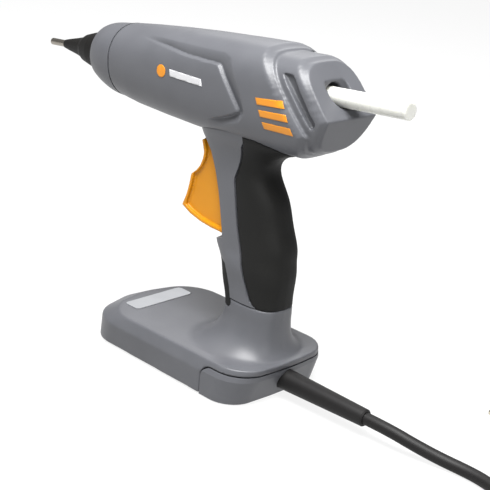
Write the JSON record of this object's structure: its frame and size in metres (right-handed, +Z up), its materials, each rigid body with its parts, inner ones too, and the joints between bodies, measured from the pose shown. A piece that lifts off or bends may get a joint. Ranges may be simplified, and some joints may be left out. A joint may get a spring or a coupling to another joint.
{
  "type": "hot glue gun",
  "caption": "Trigger-fed hot glue gun with a slim nozzle, pistol grip, glue stick in its rear inlet, stable standing foot and mains cord with plug.",
  "frame": {"origin": "centre of the foot's underside, on the surface it stands on", "axes": "+Z up; +X rearwards, the way the cord leaves, so the nozzle points to -X; -Y is the gun's left side"},
  "size_m": [0.5064, 0.154, 0.2233],
  "materials": {
    "housing_plastic": "fine spark-textured moulding",
    "dark_plastic": "textured moulding",
    "grip_rubber": "matt overmoulded elastomer",
    "trigger_plastic": "semi-gloss coloured moulding",
    "silicone": "matt silicone",
    "nozzle_metal": "turned",
    "cast_aluminium": "as cast",
    "heater_foil": "foil wrapped",
    "steel": "bright zinc plated",
    "board": "pressed mica sheet",
    "mechanism_plastic": "glass-filled nylon",
    "jaw_steel": "punched and hardened",
    "glue": "waxy translucent",
    "sole_rubber": "matt",
    "label_metal": "brushed label",
    "terminal_plastic": "moulded",
    "lead_insulation": "silicone insulated wire",
    "cord_rubber": "matt rubber sheath",
    "pin_brass": "nickel-plated"
  },
  "bodies": {
    "housing": {"barrel_shell_left": "housing_plastic", "barrel_shell_right": "housing_plastic", "front_ring": "housing_plastic", "handle_shell_left": "housing_plastic", "handle_shell_right": "housing_plastic", "foot_cover": "housing_plastic", "foot_rear_cover": "housing_plastic", "front_insert": "dark_plastic", "foot_base": "dark_plastic", "cord_clamp": "dark_plastic", "soft_grip": "grip_rubber", "nozzle_sleeve": "silicone", "inlet_sleeve": "silicone", "nozzle": "nozzle_metal", "heating_chamber": "cast_aluminium", "heater": "heater_foil", "cutout_strap": "steel", "thermal_cutout": "steel", "sleeve_clip": "steel", "guide_rods": "steel", "return_springs": "steel", "trigger_pin": "steel", "barrel_screws": "steel", "handle_screws": "steel", "foot_screws": "steel", "clamp_screws": "steel", "chamber_supports": "board", "front_guide_plate": "mechanism_plastic", "rear_guide_plate": "mechanism_plastic", "foot_sole": "sole_rubber", "rating_plate": "label_metal", "terminal_block": "terminal_plastic", "heater_leads": "lead_insulation", "cord": "cord_rubber", "cord_coil": "cord_rubber", "cord_tail": "cord_rubber", "inner_cable": "cord_rubber", "strain_relief": "cord_rubber", "plug": "cord_rubber", "coil_tie": "cord_rubber", "plug_pins": "pin_brass"},
    "trigger": {"trigger": "trigger_plastic"},
    "carriage": {"feed_carriage": "mechanism_plastic", "jaw_pin": "steel"},
    "jaw": {"gripping_jaw": "jaw_steel"},
    "glue_stick": {"glue_stick": "glue"}
  },
  "joints": [
    {"name": "trigger_pull", "type": "hinge", "parent": "housing", "child": "trigger", "pos_m": [0.0085, 0, 0.16301], "axis": [0, -1, 0], "range_deg": [0, 15], "stiffness_Nm_per_rad": 0.8, "springref_deg": -5.73},
    {"name": "feed_slide", "type": "slide", "parent": "housing", "child": "carriage", "axis": [-0.9957, 0, -0.0925], "range_m": [0, 0.0067], "deforming": ["return_springs"]},
    {"name": "jaw_bite", "type": "hinge", "parent": "carriage", "child": "jaw", "pos_m": [0.02063, 0, 0.18483], "axis": [0, 1, 0], "range_deg": [0, 3.1]},
    {"name": "stick_slide", "type": "slide", "parent": "housing", "child": "glue_stick", "axis": [0.9957, 0, 0.0925], "range_m": [-0.045, 0.2]}
  ],
  "couplings": [
    {"joint": "feed_slide", "follows": "trigger_pull", "m_per_rad": 0.025144},
    {"joint": "jaw_bite", "follows": "trigger_pull", "ratio": 0.2}
  ]
}
